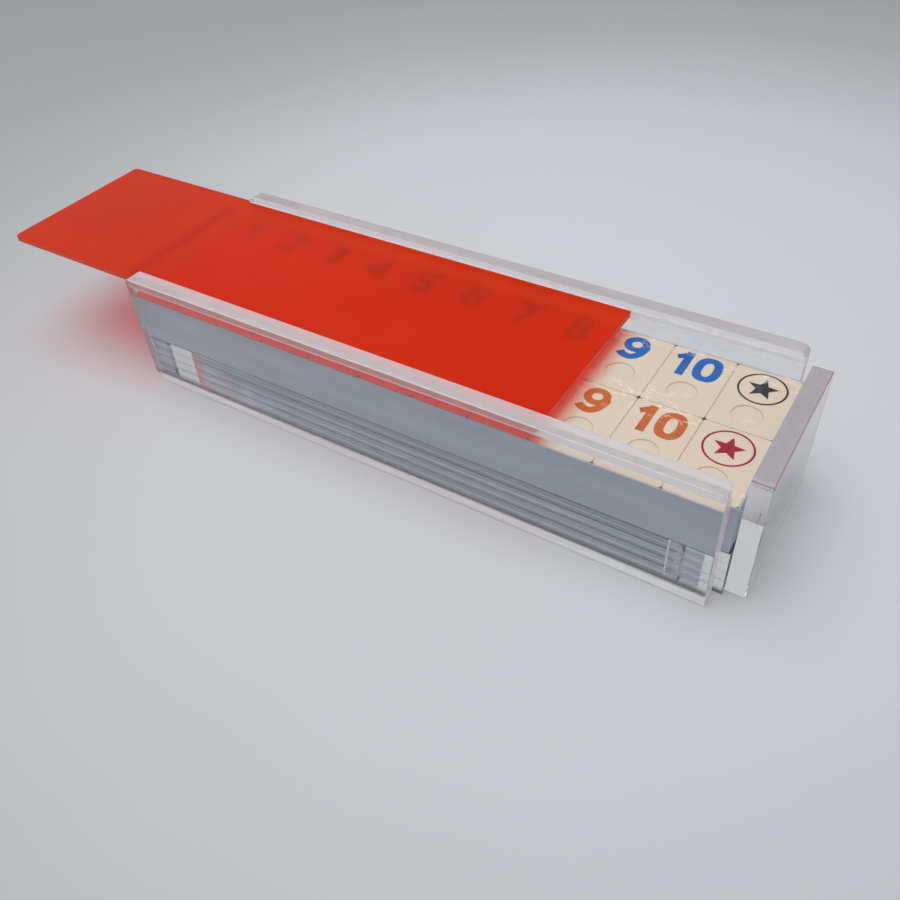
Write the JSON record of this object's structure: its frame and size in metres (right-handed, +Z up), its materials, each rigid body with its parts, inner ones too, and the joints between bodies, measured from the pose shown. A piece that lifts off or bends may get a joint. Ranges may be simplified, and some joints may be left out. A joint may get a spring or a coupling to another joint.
{
  "type": "rummy tile case",
  "caption": "Clear acrylic case with a tinted sliding lid, holding wrapped rummy tiles over a stack of clear tile racks.",
  "frame": {"origin": "middle of the case's footprint, on the surface it stands on; the lid isn't counted", "axes": "+X along the case towards its high end plate, the way the lid slides shut; +Y across to the back wall; +Z up"},
  "size_m": [0.3793, 0.0924, 0.0573],
  "materials": {
    "clear_acrylic": "polished, clear",
    "red_acrylic": "polished, tinted and a little cloudy",
    "rack_acrylic": "polished, clear",
    "ivory_tile": "satin moulded plastic",
    "grey_sleeve": "satin",
    "clear_film": "thin, crinkled and shiny"
  },
  "bodies": {
    "case": {"back_wall": "clear_acrylic", "floor_plate": "clear_acrylic", "front_wall": "clear_acrylic", "left_end_plate": "clear_acrylic", "right_end_plate": "clear_acrylic", "tile_blue_01": "ivory_tile", "tile_blue_02": "ivory_tile", "tile_blue_03": "ivory_tile", "tile_blue_04": "ivory_tile", "tile_blue_05": "ivory_tile", "tile_blue_06": "ivory_tile", "tile_blue_07": "ivory_tile", "tile_blue_08": "ivory_tile", "tile_blue_09": "ivory_tile", "tile_blue_10": "ivory_tile", "tile_joker_dark": "ivory_tile", "tile_joker_red": "ivory_tile", "tile_layer_2": "ivory_tile", "tile_layer_3": "ivory_tile", "tile_layer_4": "ivory_tile", "tile_layer_5": "ivory_tile", "tile_orange_01": "ivory_tile", "tile_orange_02": "ivory_tile", "tile_orange_03": "ivory_tile", "tile_orange_04": "ivory_tile", "tile_orange_05": "ivory_tile", "tile_orange_06": "ivory_tile", "tile_orange_07": "ivory_tile", "tile_orange_08": "ivory_tile", "tile_orange_09": "ivory_tile", "tile_orange_10": "ivory_tile", "tile_rack_1": "rack_acrylic", "tile_rack_2": "rack_acrylic", "tile_rack_3": "rack_acrylic", "tile_rack_4": "rack_acrylic", "tile_sleeve": "grey_sleeve", "wrap_film": "clear_film"},
    "lid": {"sliding_lid": "red_acrylic"}
  },
  "joints": [
    {"name": "lid_slide", "type": "slide", "parent": "case", "child": "lid", "axis": [1, 0, 0], "range_m": [-0.21, 0.0745]}
  ]
}
